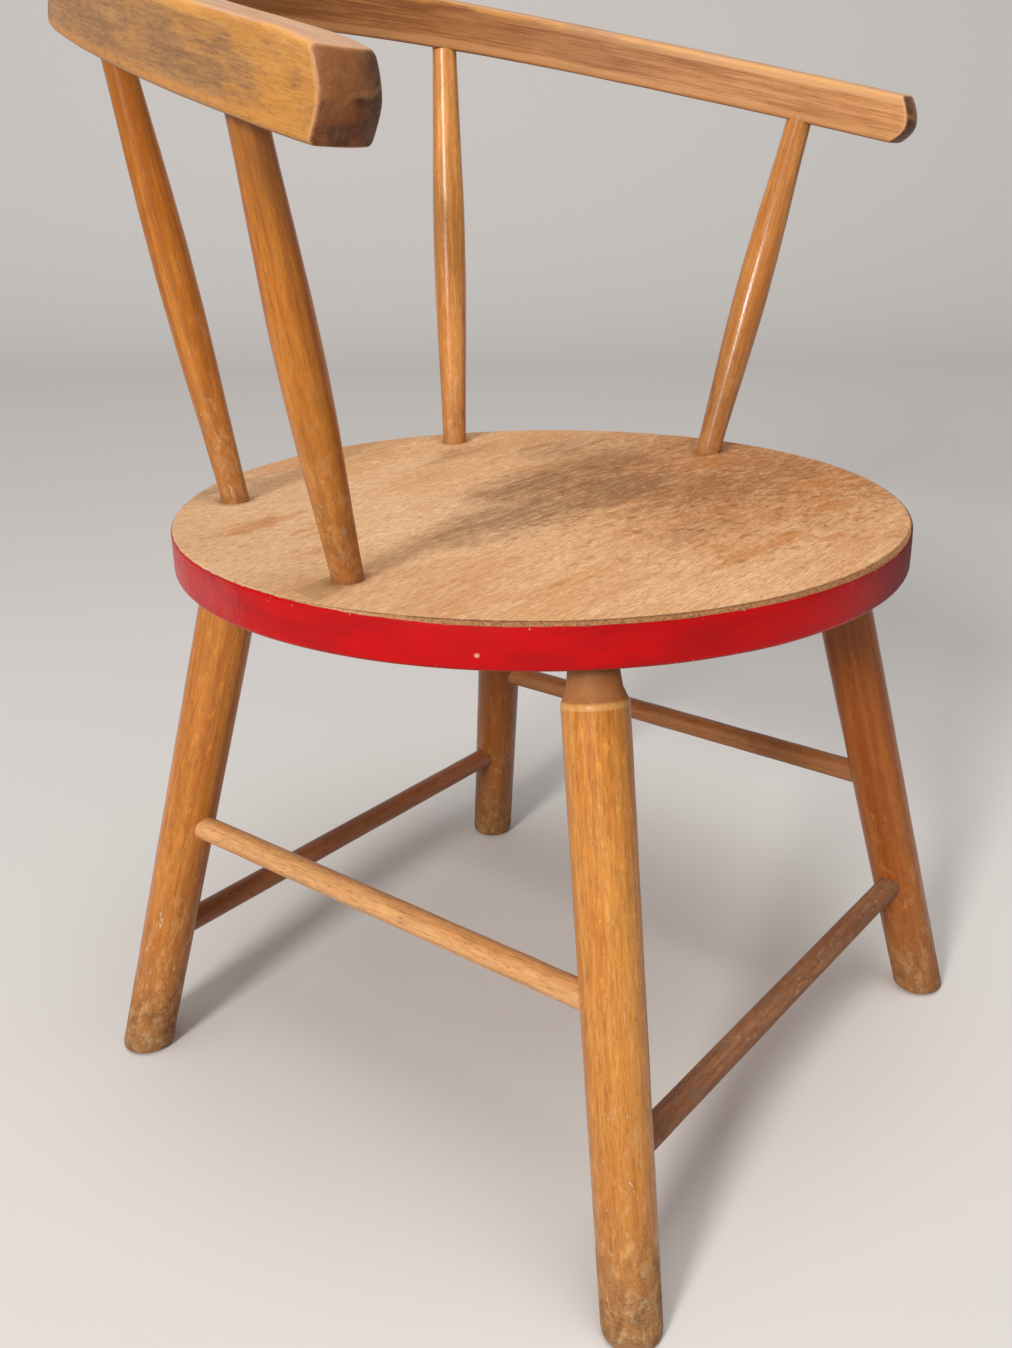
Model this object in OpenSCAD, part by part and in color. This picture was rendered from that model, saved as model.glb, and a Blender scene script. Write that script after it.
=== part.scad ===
// Child's spindle armchair: a round plywood seat with a painted rim, four
// splayed turned legs tied by four dowel stretchers, and a bent bow (back and
// arms in one) carried by four turned spindles.
// Millimetres, +Z up. The origin is on the floor, under the middle of the box
// that holds the chair. The sitter looks along -Y, so +X is the sitter's left.

/* [Seat] */
// Diameter of the round seat
seat_d = 330; // [300:1:350]
// Height of the seat's top above the floor
seat_top_z = 280.4; // [260:0.1:300]
// Thickness of the seat board
seat_thick = 18.8; // [16:0.1:24]
// Rounding of the seat's two edges
seat_edge_r = 1.6; // [0.5:0.1:3]

/* [Legs] */
// Half the distance between the feet, left to right
foot_x = 144.4; // [120:0.1:160]
// Foot of a front leg, ahead of the seat's centre
front_foot_y = -151.1; // [-165:0.1:-125]
// Foot of a rear leg, behind the seat's centre
rear_foot_y = 149.0; // [125:0.1:165]
// Half the distance between the leg heads, left to right, at the seat's underside
head_x = 99.1; // [85:0.1:110]
// Head of a front leg, ahead of the seat's centre
front_head_y = -97.6; // [-110:0.1:-80]
// Head of a rear leg, behind the seat's centre
rear_head_y = 96.4; // [80:0.1:110]
// Leg diameter at the shoulder, just under the tapered neck
leg_top_d = 26.3; // [22:0.1:30]
// Leg diameter at the foot
leg_foot_d = 24.7; // [20:0.1:28]
// Diameter of the neck, which is also the tenon in the seat
leg_neck_d = 18.4; // [14:0.1:20]
// Length of the tapered neck under the seat
leg_neck_len = 20; // [12:0.5:30]
// Depth of the leg tenon in the seat
leg_tenon_len = 12; // [8:0.5:13]

/* [Stretchers] */
// Diameter of the four dowel stretchers
stretcher_d = 11.9; // [8:0.1:14]
// Height of the side stretchers at the front legs
side_front_z = 127.5; // [100:0.1:160]
// Height of the side stretchers at the rear legs
side_rear_z = 129.1; // [100:0.1:160]
// Height of the front stretcher
front_z = 68.1; // [40:0.1:90]
// Height of the rear stretcher
rear_z = 66.2; // [40:0.1:90]
// Depth of each dowel in its leg
dowel_depth = 8; // [5:0.5:9]

/* [Spindles] */
// Diameter of a spindle at its two ends
spindle_end_d = 12.8; // [11:0.1:13]
// Diameter of a spindle at its middle
spindle_mid_d = 17.2; // [14:0.1:20]
// Diameter of the tenons on both ends of a spindle
spindle_tenon_d = 10; // [8:0.1:10.4]
// Depth of the spindle tenons
spindle_tenon_len = 12; // [8:0.5:13]

/* [Bow] */
// Radius of the bow's rear bend, to the middle of its width
bow_r = 166.7; // [160:0.1:170]
// Angle of the rear bend, from the middle to the start of each arm
bow_bend_angle = 65; // [60:0.5:70]
// Radius of the slow curve of each arm
arm_r = 519; // [400:1:700]
// Distance from the front spindles forward to the tip of the right arm
arm_reach = 59.7; // [50:0.1:65]
// How much shorter the left arm is than the right one
left_arm_cut = 5.1; // [0:0.1:7]
// Width of the bow, from its inner to its outer face
bow_w = 23.1; // [21:0.1:26]
// Thickness of the bow at its middle
bow_h = 24.2; // [22:0.1:28]
// Height of the bow's underside between the front spindles
bow_z = 442.8; // [430:0.1:455]
// Rise of the bow towards the back
bow_tilt = 12.7; // [10:0.1:15]
// Slight sideways slope of the bow, down to the sitter's left
bow_roll = 0.5; // [0:0.1:1]
// Extra slope of the planed top face, which leaves the left arm thinner
bow_taper = 0.7; // [0:0.1:1]
// Radius of the round nose on each arm's end
nose_r = 28; // [24:0.5:34]
// How far below the middle of the arm's thickness its nose is rounded about
nose_drop = 1.8; // [0:0.1:4]
// How far the left arm's nose is set towards the arm's inner side
left_nose_inset = 4; // [0:0.5:6]

/* [Hidden] */

$fn = 96;

RIGHT = -1;
LEFT = 1;
FRONT = -1;
REAR = 1;

varnish = "#c07a35";
dark_varnish = "#8d5a30";
bare_wood = "#c69a6b";
bow_wood = "#b27a45";

fit_gap = 0.05;                      // clearance around every tenon
far = 600;                           // larger than the whole chair
seam_turn = 135;                     // where a round face's seam lies
seat_r = seat_d / 2;
seat_under_z = seat_top_z - seat_thick;

// The middle of the chair's box, seen from the seat's centre. It lies behind
// it, because the bow reaches back further than the feet reach forward.
centre = [0.1, 14.7, 0];

// Where each spindle's axis leaves the seat's top, and where it meets the
// bow's underside, seen from the seat's centre. Each hole in the bow was
// bored by eye, so no two heads stand quite alike.
front_spindle_foot = [135.3, -10.2, seat_top_z];
rear_spindle_foot = [79.2, 117.3, seat_top_z];
front_right_head = [-186.8, -31.3, 443.9];
front_left_head = [184.4, -26.4, 441.3];
rear_right_head = [-100.4, 145.1, 483.2];
rear_left_head = [106.4, 139.8, 480.5];

bow_front_y = -27.2;                 // the line across the front spindles
bow_rear_y = 48.9;                   // from that line back to the rear bend's centre
bow_blank_h = bow_h + 6;             // the bow's stick before its top is planed

// The centre of the left arm's curve, in the bow's own frame.
arm_centre = [
    -(arm_r - bow_r) * sin(bow_bend_angle),
    bow_rear_y - (arm_r - bow_r) * cos(bow_bend_angle)
];
spare_angle = 0.5;                   // each bent stick is first left this much too long
nose_start = 14;                     // the nose's trim begins this far behind the tip

function mirrored(p, side) = [side * p[0], p[1], p[2]];
function along(a, b, t) = a + (b - a) * t;
// The angle from straight back round to the tip of an arm that reaches this far.
function tip_angle(reach) = acos((-reach - arm_centre[1]) / arm_r);
function at_height(a, b, z) = along(a, b, (z - a[2]) / (b[2] - a[2]));

function leg_foot(side, row) = [side * foot_x, row == FRONT ? front_foot_y : rear_foot_y, 0];
function leg_head(side, row) =
    [side * head_x, row == FRONT ? front_head_y : rear_head_y, seat_under_z];
function leg_point(side, row, z) = at_height(leg_foot(side, row), leg_head(side, row), z);

// Radius of a spindle at a share t of its length: a slim barrel.
function spindle_r(t) =
    spindle_end_d / 2 + (spindle_mid_d - spindle_end_d) / 2 * pow(sin(180 * t), 1.6);

// Moves the chair from the seat's centre to the middle of its box.
module placed() {
    translate(-centre) children();
}

// Puts its children's +Z axis on the line from a to b, starting at a. The turn
// about that axis takes the seam of a round face clear of the slanting cuts'
// ends.
module aim(a, b) {
    d = b - a;
    translate(a)
        rotate([0, acos(d[2] / norm(d)), atan2(d[1], d[0])])
            rotate([0, 0, seam_turn])
                children();
}

// A straight round bar from a to b.
module bar(a, b, d) {
    aim(a, b) cylinder(h = norm(b - a), d = d);
}

// The bow's own frame: its underside is the plane z = 0, and the line across
// the front spindles is y = 0.
module in_bow_frame() {
    translate([0, bow_front_y, bow_z])
        rotate([bow_tilt, 0, 0])
            rotate([0, bow_roll, 0])
                children();
}

// ---- seat ----

module seat_disc() {
    translate([0, 0, seat_under_z])
        rotate_extrude($fn = 180)
            union() {
                square([seat_r - seat_edge_r, seat_thick]);
                translate([0, seat_edge_r]) square([seat_r, seat_thick - 2 * seat_edge_r]);
                translate([seat_r - seat_edge_r, seat_edge_r]) circle(r = seat_edge_r, $fn = 32);
                translate([seat_r - seat_edge_r, seat_thick - seat_edge_r])
                    circle(r = seat_edge_r, $fn = 32);
            }
}

module seat_part() {
    color("#c8102e")
        difference() {
            seat_disc();
            for (side = [RIGHT, LEFT], row = [FRONT, REAR])
                leg_tenon(side, row, fit_gap);
            spindle_tenon(mirrored(front_spindle_foot, RIGHT), front_right_head, fit_gap);
            spindle_tenon(mirrored(front_spindle_foot, LEFT), front_left_head, fit_gap);
            spindle_tenon(mirrored(rear_spindle_foot, RIGHT), rear_right_head, fit_gap);
            spindle_tenon(mirrored(rear_spindle_foot, LEFT), rear_left_head, fit_gap);
        }
}

// ---- legs ----

module leg_tenon(side, row, gap) {
    foot = leg_foot(side, row);
    head = leg_head(side, row);
    length = norm(head - foot);
    aim(foot, head)
        translate([0, 0, length - leg_neck_len / 2])
            cylinder(h = leg_neck_len / 2 + leg_tenon_len + gap, d = leg_neck_d + 2 * gap);
}

module leg_blank(side, row) {
    foot = leg_foot(side, row);
    head = leg_head(side, row);
    length = norm(head - foot);
    shoulder = length - leg_neck_len;
    aim(foot, head)
        rotate_extrude()
            polygon([
                [0, -leg_foot_d],
                [leg_foot_d / 2, -leg_foot_d],
                [leg_foot_d / 2, 0],
                [leg_top_d / 2, shoulder],
                [leg_neck_d / 2, length - leg_neck_d / 4],
                [leg_neck_d / 2, length + leg_tenon_len - 0.5],
                [0, length + leg_tenon_len - 0.5]
            ]);
}

// The leg is sawn level at the floor. The dowels that enter it are left out
// of it as blind holes.
module leg_part(side, row) {
    color(varnish)
        difference() {
            leg_blank(side, row);
            translate([-far / 2, -far / 2, -far]) cube(far);
            side_dowel(side, fit_gap);
            cross_dowel(row, fit_gap);
        }
}

// ---- stretchers ----

// A dowel between the axes of two legs, stopping dowel_depth inside each.
module dowel(a, b, gap) {
    v = (b - a) / norm(b - a);
    inset = leg_foot_d / 2 - dowel_depth - gap;
    bar(a + v * inset, b - v * inset, stretcher_d + 2 * gap);
}

module side_dowel(side, gap) {
    dowel(leg_point(side, FRONT, side_front_z), leg_point(side, REAR, side_rear_z), gap);
}

module cross_dowel(row, gap) {
    z = row == FRONT ? front_z : rear_z;
    dowel(leg_point(RIGHT, row, z), leg_point(LEFT, row, z), gap);
}

// ---- spindles ----

// The tenon runs past both ends of the spindle's body.
module spindle_tenon(foot, head, gap) {
    length = norm(head - foot);
    aim(foot, head)
        translate([0, 0, -spindle_tenon_len - gap])
            cylinder(h = length + 2 * spindle_tenon_len + 2 * gap, d = spindle_tenon_d + 2 * gap);
}

module spindle_body(foot, head) {
    length = norm(head - foot);
    steps = 24;
    over = spindle_end_d / 2;
    aim(foot, head)
        rotate_extrude()
            polygon(concat(
                [[0, -over], [spindle_end_d / 2, -over]],
                [for (i = [0:steps]) [spindle_r(i / steps), length * i / steps]],
                [[spindle_end_d / 2, length + over], [0, length + over]]
            ));
}

// The body is cut to the seat's top and to the bow's underside.
module spindle_part(foot, head) {
    color(varnish)
        union() {
            difference() {
                spindle_body(foot, head);
                translate([-far / 2, -far / 2, seat_top_z - far]) cube(far);
                in_bow_frame() translate([-far / 2, -far / 2, 0]) cube(far);
            }
            spindle_tenon(foot, head, 0);
        }
}

// ---- bow ----

// A curved stick of the bow's width, bent about the Z axis. It is left taller
// than the bow, for the top face to be planed.
module bent_stick(radius, angle) {
    rotate_extrude(angle = angle, $fn = 360)
        translate([radius - bow_w / 2, 0])
            square([bow_w, bow_blank_h]);
}

// Puts its children's origin at the tip of a left arm of this reach, with -Y
// straight on along the arm.
module at_tip(reach) {
    translate([arm_centre[0], arm_centre[1], bow_h / 2])
        rotate([0, 0, 90 - tip_angle(reach)])
            translate([arm_r, 0, 0])
                children();
}

// The sitter's left half of the bow. Where the rear bend ends, the arm goes on
// along a much larger circle, whose centre lies on the same line, so that the
// two curves meet smoothly. The arm's end is trimmed to a sphere, which may be
// set towards the arm's inner side, and the bend is trimmed at the middle.
module half_bow(reach, nose_inset) {
    difference() {
        translate([0, bow_rear_y, 0])
            rotate([0, 0, 90 - bow_bend_angle]) {
                bent_stick(bow_r, bow_bend_angle + spare_angle);
                translate([bow_r - arm_r, 0, 0])
                    bent_stick(arm_r, bow_bend_angle - tip_angle(reach) - spare_angle);
            }
        translate([-far, 0, -far / 2]) cube(far);
        at_tip(reach)
            difference() {
                translate([0, nose_start - bow_w, 0])
                    cube([2 * bow_w, 2 * bow_w, 4 * bow_w], center = true);
                translate([-nose_inset, nose_r, -nose_drop]) sphere(r = nose_r);
            }
    }
}

module bow_part() {
    color(bow_wood)
        difference() {
            in_bow_frame()
                difference() {
                    union() {
                        half_bow(arm_reach - left_arm_cut, left_nose_inset);
                        mirror([1, 0, 0]) half_bow(arm_reach, 0);
                    }
                    translate([0, 0, bow_h])
                        rotate([0, bow_taper, 0])
                            translate([-far / 2, -far / 2, 0]) cube(far);
                }
            spindle_tenon(mirrored(front_spindle_foot, RIGHT), front_right_head, fit_gap);
            spindle_tenon(mirrored(front_spindle_foot, LEFT), front_left_head, fit_gap);
            spindle_tenon(mirrored(rear_spindle_foot, RIGHT), rear_right_head, fit_gap);
            spindle_tenon(mirrored(rear_spindle_foot, LEFT), rear_left_head, fit_gap);
        }
}

// ---- the named pieces ----

module seat() { placed() seat_part(); }
module leg_front_right() { placed() leg_part(RIGHT, FRONT); }
module leg_front_left() { placed() leg_part(LEFT, FRONT); }
module leg_rear_right() { placed() leg_part(RIGHT, REAR); }
module leg_rear_left() { placed() leg_part(LEFT, REAR); }
module stretcher_right() { placed() color(varnish) side_dowel(RIGHT, 0); }
module stretcher_left() { placed() color(dark_varnish) side_dowel(LEFT, 0); }
module stretcher_front() { placed() color(bare_wood) cross_dowel(FRONT, 0); }
module stretcher_rear() { placed() color(dark_varnish) cross_dowel(REAR, 0); }
module spindle_front_right() {
    placed() spindle_part(mirrored(front_spindle_foot, RIGHT), front_right_head);
}
module spindle_front_left() {
    placed() spindle_part(mirrored(front_spindle_foot, LEFT), front_left_head);
}
module spindle_rear_right() {
    placed() spindle_part(mirrored(rear_spindle_foot, RIGHT), rear_right_head);
}
module spindle_rear_left() {
    placed() spindle_part(mirrored(rear_spindle_foot, LEFT), rear_left_head);
}
module bow() { placed() bow_part(); }

seat();
leg_front_right();
leg_front_left();
leg_rear_right();
leg_rear_left();
stretcher_right();
stretcher_left();
stretcher_front();
stretcher_rear();
spindle_front_right();
spindle_front_left();
spindle_rear_right();
spindle_rear_left();
bow();
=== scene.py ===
# %% [markdown]
# # A child's armchair in turned beech
#
# This lesson gives a small old wooden armchair its looks. The chair is a
# round board on four splayed legs, with four dowels between the legs, four
# spindles standing on the board, and one bent stick on top that is both arms
# and the back rest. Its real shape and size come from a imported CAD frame. We
# model each piece again with softer edges and give it a worn finish.

import math
from types import SimpleNamespace

import bmesh
import bpy
from mathutils import Matrix, Vector, noise


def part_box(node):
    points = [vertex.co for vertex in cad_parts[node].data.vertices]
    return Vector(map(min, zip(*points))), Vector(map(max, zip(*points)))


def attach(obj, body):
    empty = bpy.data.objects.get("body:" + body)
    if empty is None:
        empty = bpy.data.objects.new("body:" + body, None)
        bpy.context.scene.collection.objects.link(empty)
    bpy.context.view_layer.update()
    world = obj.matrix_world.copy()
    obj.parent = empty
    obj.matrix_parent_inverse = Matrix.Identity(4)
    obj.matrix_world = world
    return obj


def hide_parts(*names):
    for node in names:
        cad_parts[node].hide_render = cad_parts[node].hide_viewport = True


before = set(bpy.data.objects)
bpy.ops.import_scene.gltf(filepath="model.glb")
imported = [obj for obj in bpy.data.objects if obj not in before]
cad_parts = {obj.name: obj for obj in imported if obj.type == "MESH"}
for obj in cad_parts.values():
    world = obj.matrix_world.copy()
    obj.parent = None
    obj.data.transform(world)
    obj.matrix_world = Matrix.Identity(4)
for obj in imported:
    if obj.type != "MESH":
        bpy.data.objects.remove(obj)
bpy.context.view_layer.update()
MM = 0.001
print("pieces in the frame:", ", ".join(sorted(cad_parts)))

# %% [markdown]
# ## The camera
#
# The chair is seen from above its right front corner, from about as high as
# the arms. A new camera looks down its own -Z axis, at the floor. Read from
# the last line up, the matrices below roll it about that axis, raise it to the
# horizon and tip it, turn it, and carry it to its place. One matrix for each
# of these is easier to read than three mixed Euler angles.

# %% Camera
CAMERA_PLACE = Vector((-0.4737, -0.3678, 0.4326))
CAMERA_TURN, CAMERA_TIP, CAMERA_ROLL = 51.69, -21.87, -0.87   # degrees
LENS_MM = 35.22

camera_data = bpy.data.cameras.new("view")
camera_data.lens = LENS_MM
camera_data.clip_start = 0.01
camera = bpy.data.objects.new("view", camera_data)
bpy.context.scene.collection.objects.link(camera)
camera.matrix_world = (
    Matrix.Translation(CAMERA_PLACE)
    @ Matrix.Rotation(math.radians(-CAMERA_TURN), 4, "Z")
    @ Matrix.Rotation(math.radians(90 + CAMERA_TIP), 4, "X")
    @ Matrix.Rotation(math.radians(CAMERA_ROLL), 4, "Z")
)
bpy.context.scene.camera = camera
bpy.context.scene.view_settings.view_transform = "Standard"
print("camera at", tuple(round(c, 3) for c in camera.location))

# %% [markdown]
# ## Arithmetic for shaders
#
# A worn finish is a sum of many faint layers, and each layer is a bit of
# arithmetic on noise. Placing a Math node for every plus sign by hand is slow
# to write and hard to read. The small class below wraps one output socket, so
# that `1 - mask` or `grain * 0.3` adds the node by itself.

# %% A socket that does sums
class Field:
    """A number that varies over a surface. Arithmetic on it adds Math nodes."""

    def __init__(self, tree, socket):
        self.tree, self.socket = tree, socket

    def math(self, operation, *terms):
        node = self.tree.nodes.new("ShaderNodeMath")
        node.operation = operation
        for slot, term in zip(node.inputs, terms):
            if isinstance(term, Field):
                self.tree.links.new(term.socket, slot)
            else:
                slot.default_value = term
        return Field(self.tree, node.outputs[0])

    def __add__(self, other):
        return self.math("ADD", self, other)

    def __sub__(self, other):
        return self.math("SUBTRACT", self, other)

    def __rsub__(self, other):
        return self.math("SUBTRACT", other, self)

    def __mul__(self, other):
        return self.math("MULTIPLY", self, other)

    def __truediv__(self, other):
        return self.math("DIVIDE", self, other)

    __radd__ = __add__
    __rmul__ = __mul__

    def most(self, other):
        return self.math("MAXIMUM", self, other)

    def size(self):
        return self.math("ABSOLUTE", self)

    def root(self):
        return self.math("SQRT", self)


# %% [markdown]
# ## One finish, one node tree
#
# Every finish below is made with the same few tools: noise stretched along
# the grain, a soft threshold that turns noise into a mask, and a mix of two
# colours by a mask. They are methods of one class, so that a finish reads like
# a recipe: the wood first, then the varnish, then the wear, then the dirt. The
# finish remembers its colour so far, and `lay` puts the next thin layer on it.

# %% Colours
def tone(red, green, blue):
    """A colour as a paint chart gives it (0 to 255), turned linear for the shader."""
    def linear(c):
        c /= 255
        return c / 12.92 if c <= 0.04045 else ((c + 0.055) / 1.055) ** 2.4
    return (linear(red), linear(green), linear(blue), 1.0)


print("mid grey is", round(tone(128, 128, 128)[0], 3), "to the shader")


# %% The finish class
class Finish:
    """A material being mixed. `place` is where on the piece the shader is.

    `colour` is what the layers laid so far add up to.
    """

    def __init__(self, name, attribute=None):
        self.material = bpy.data.materials.new(name)
        self.material.use_nodes = True
        self.tree = self.material.node_tree
        self.tree.nodes.clear()
        if attribute:
            self.place = self.node("Attribute", {"attribute_name": attribute}, out="Vector")
        else:
            self.place = self.node("TexCoord", out="Object")
        self.across, self.along, self.up = self.parts(self.place)
        self.colour = None

    def node(self, kind, settings=None, inputs=None, out=0):
        """Adds a node: its settings first, then the values or links of its sockets."""
        node = self.tree.nodes.new("ShaderNode" + kind)
        for key, value in (settings or {}).items():
            setattr(node, key, value)
        for key, value in (inputs or {}).items():
            if isinstance(value, Field):
                self.tree.links.new(value.socket, node.inputs[key])
            else:
                node.inputs[key].default_value = value
        return Field(self.tree, node.outputs[out]) if node.outputs else None

    def parts(self, vector):
        """The three numbers of a vector."""
        first = self.node("SeparateXYZ", inputs={0: vector})
        outputs = first.socket.node.outputs
        return tuple(Field(self.tree, outputs[i]) for i in range(3))

    def mapped(self, scale, turn=0.0, shift=(0, 0, 0)):
        """The place, moved, turned about Z and stretched, to lay a pattern on."""
        return self.node("Mapping", inputs={
            "Vector": self.place, "Location": shift,
            "Rotation": (0, 0, turn), "Scale": scale})

    def noise(self, scale, detail=2.0, rough=0.5, turn=0.0, shift=(0, 0, 0), warp=0.0):
        """Noise from 0 to 1; scale is how many waves to the metre each way."""
        return self.node("TexNoise", inputs={
            "Vector": self.mapped(scale, turn, shift), "Scale": 1.0,
            "Detail": detail, "Roughness": rough, "Distortion": warp})

    def ramp(self, value, low, high, bottom=0.0, top=1.0):
        """A soft step: bottom below low, top above high."""
        return self.node("MapRange", {"interpolation_type": "SMOOTHSTEP"}, {
            "Value": value, "From Min": low, "From Max": high,
            "To Min": bottom, "To Max": top})

    def blots(self, scale, detail, rough, low, high, **where):
        """Patches of noise: 0 where it is below low, 1 where it is above high."""
        return self.ramp(self.noise(scale, detail, rough, **where), low, high)

    def band(self, value, low, high, soft):
        """1 between low and high, fading over soft on both sides."""
        return (self.ramp(value, low - soft, low + soft)
                * (1 - self.ramp(value, high - soft, high + soft)))

    def spot(self, centre, radii, wobble=None):
        """1 at a centre, fading to 0 at an ellipsoid of those radii round it."""
        offset = self.node("VectorMath", {"operation": "SUBTRACT"}, {0: self.place, 1: centre})
        scaled = self.node("VectorMath", {"operation": "DIVIDE"}, {0: offset, 1: radii})
        distance = self.node("VectorMath", {"operation": "LENGTH"}, {0: scaled}, out="Value")
        if wobble:
            distance = distance + wobble
        return self.ramp(distance, 0.25, 1.0, 1.0, 0.0)

    def mix(self, factor, first, second):
        """The first colour where the factor is 0, and the second where it is 1."""
        return self.node("Mix", {"data_type": "RGBA"}, {0: factor, 6: first, 7: second}, out=2)

    def lay(self, mask, colour):
        """Lays one more colour over the colour so far, where the mask lets it."""
        self.colour = self.mix(mask, self.colour, colour)

    def done(self, roughness, height=None, depth=0.0, coat=0.0, coat_rough=0.1, shine=0.5):
        """Joins it all to the shader. height is bump, and depth its reach in metres."""
        inputs = {"Base Color": self.colour, "Roughness": roughness, "Coat Weight": coat,
                  "Coat Roughness": coat_rough, "Specular IOR Level": shine}
        if height:
            inputs["Normal"] = self.node("Bump", inputs={
                "Height": height, "Distance": depth, "Strength": 1.0})
        shader = self.node("BsdfPrincipled", inputs=inputs)
        self.node("OutputMaterial", inputs={"Surface": shader})
        print("finish", self.material.name, "uses", len(self.tree.nodes), "nodes")
        return self.material


# %% [markdown]
# ## Amber varnish on turned beech
#
# Legs and spindles are turned from beech and dipped in clear varnish that has
# gone amber with age. Beech is easy to know by its flecks: short dark dashes
# along the grain. Years of knocks have broken the varnish. Each knock shows as
# a whitish scuff, and they crowd together low on the legs, where shoes and
# brooms reach. The pattern follows each stick, so it reads the stick's own
# coordinates, kept in an attribute: two across, and the third along it.

# %% Amber varnish
NECK_LENGTH = 20 * MM     # from a leg's shoulder up to the board
WOOD_BUMP = 0.22 * MM     # how far the grain and the scratches stand out


def amber_varnish(name, length, light, dark, scuffs, foot, seed, gloss, grime=0.0, neck=0.0):
    """Varnish for one turned piece of this length, from light to dark in its streaks.

    scuffs, foot and grime say from 0 to about 1 how far each kind of wear has
    gone, neck how strongly the bare neck and its painted shade are laid, and
    gloss is the roughness of the varnish where it is whole.
    """
    f = Finish(name, "stick")
    height = f.up / length
    lot = (seed, seed * 0.7, seed * 0.3)
    cloud = f.noise((45, 45, 9), 3, 0.55, shift=lot)
    streak = f.noise((300, 300, 10), 4, 0.65, shift=lot)
    fibre = f.noise((1700, 1700, 100), 3, 0.68, shift=lot)
    fleck = f.blots((1500, 1500, 330), 1, 0.5, 0.60, 0.74, shift=lot)
    f.colour = f.mix(f.ramp(cloud * 0.4 + streak * 0.6, 0.40, 0.60), light, dark)
    f.lay(f.ramp(fibre, 0.36, 0.66) * 0.32, tone(128, 72, 26))
    f.lay(fleck * 0.26, tone(120, 64, 26))
    scales = f.noise((480, 480, 120), 4, 0.7, shift=(seed, 6, 8), warp=0.3)
    f.lay(f.ramp(scales, 0.46, 0.34) * 0.34 * foot, tone(140, 80, 28))
    paler = tuple(min(1.0, c * 1.45) for c in light[:3]) + (1.0,)
    f.lay(f.ramp(scales, 0.56, 0.66) * 0.34 * foot, paler)
    # the lower half is browner, with darker streaks
    low = f.ramp(height, 0.0, 0.62, 1.0, 0.0)
    f.lay(low * foot * 0.55, tone(172, 102, 42))
    stain = f.blots((270, 270, 42), 4, 0.7, 0.50, 0.68, shift=(2, seed, 1))
    f.lay(stain * (low * 0.34 + 0.22), tone(136, 74, 24))
    # soft paler blotches broken up by the grain, more of them further down
    fine = f.noise((1000, 1000, 300), 3, 0.7, shift=lot)
    blotch = f.noise((175, 175, 88), 5, 0.72, shift=(seed, 2, 5), warp=0.3)
    mottle = (f.ramp(blotch + (fine - 0.5) * 0.30, 0.50, 0.66)
              * (low * 0.90 + 0.12) * scuffs)
    f.lay(mottle * 0.50, tone(216, 172, 118))
    # whitish knocks, small dots and long scratches
    knocks = f.noise((230, 230, 95), 4, 0.68, shift=lot, warp=0.4)
    scuff = f.ramp(knocks - (0.700 - 0.11 * low * scuffs), 0.0, 0.06)
    dots = f.noise((620, 620, 380), 2, 0.55, shift=lot)
    scuff = scuff.most(f.ramp(dots - (0.765 - 0.12 * low * scuffs), 0.0, 0.05) * 0.8)
    lines = f.noise((900, 900, 24), 1, 0.5, shift=lot)
    scuff = scuff.most(f.ramp(lines - (0.78 - 0.07 * low * scuffs), 0.0, 0.06) * 0.7)
    scuff = scuff * f.ramp(fine, 0.35, 0.6, 0.35, 1.0) * min(1.0, scuffs)
    f.lay(scuff * 0.74, tone(234, 204, 164))
    # the foot: varnish gone, wood brown-grey, scored round and dirty
    worn = f.ramp(f.up + (blotch - 0.5) * 0.12, 0.004, 0.060, 1.0, 0.0) * foot
    f.lay(worn * f.ramp(fine, 0.3, 0.6, 0.45, 0.8), tone(160, 116, 74))
    dirt = f.blots((150, 150, 90), 5, 0.72, 0.47, 0.66, shift=(seed + 3, 1, 2))
    f.lay(dirt * worn * 0.72, tone(112, 74, 44))
    chalky = f.blots((230, 230, 150), 4, 0.7, 0.50, 0.64, shift=(1, seed, 7))
    f.lay(chalky * worn * 0.50, tone(200, 172, 130))
    scores = f.noise((260, 260, 1900), 2, 0.6, shift=(seed, 9, 3), warp=0.5)
    scored = f.ramp(scores, 0.60, 0.70) * worn
    f.lay(scored * 0.42, tone(100, 68, 42))
    grubby = f.ramp(f.up + (knocks - 0.5) * 0.02, 0.001, 0.007, 1.0, 0.0) * foot
    f.lay(grubby * 0.45, tone(120, 96, 70))
    # the neck: thin dull varnish on bare wood, partly painted shade, with the deepest painted shade
    # just under the board, and a pale ring below it
    shoulder = length - NECK_LENGTH
    bare_neck_in_shade = f.ramp(f.up, shoulder - 0.0004, shoulder + 0.0010) * neck
    f.lay(bare_neck_in_shade * 0.66, tone(154, 104, 70))
    shade_under_board = f.ramp(f.up, shoulder + 0.003, shoulder + 0.013) * neck
    f.lay(shade_under_board * 0.66, tone(104, 62, 36))
    ring = f.band(f.up, shoulder - 0.0022, shoulder + 0.0002, 0.0005) * neck
    f.lay(ring * 0.4, tone(236, 190, 126))
    # grey-brown grime from hands, near the top
    hands = f.ramp(height + (cloud - 0.5) * 0.5 + (blotch - 0.5) * 0.7, 0.74, 1.00) * grime
    f.lay(hands * 0.45, tone(122, 86, 48))
    bare = scuff.most(worn).most(bare_neck_in_shade)
    roughness = f.ramp(bare, 0.0, 0.8, gloss, 0.60) + (streak - 0.5) * 0.12
    relief = (fibre * 0.25 + cloud * 2.0 - scuff * 1.1 - fleck * 0.2 - mottle * 0.4
              - dirt * worn * 0.6 - scored * 0.8)
    return f.done(roughness, relief, WOOD_BUMP,
                  coat=f.ramp(bare, 0.05, 0.6, 0.22, 0.0), coat_rough=0.2, shine=0.22)


# %% [markdown]
# ## The dowels
#
# The four dowels are rubbed by feet, and each has aged in its own way: one is
# pale and smooth, the front one has lost its varnish and gone dull grey-brown
# with pale scratches, and the other two are still dark. One recipe with a few
# numbers makes all of them.

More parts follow.
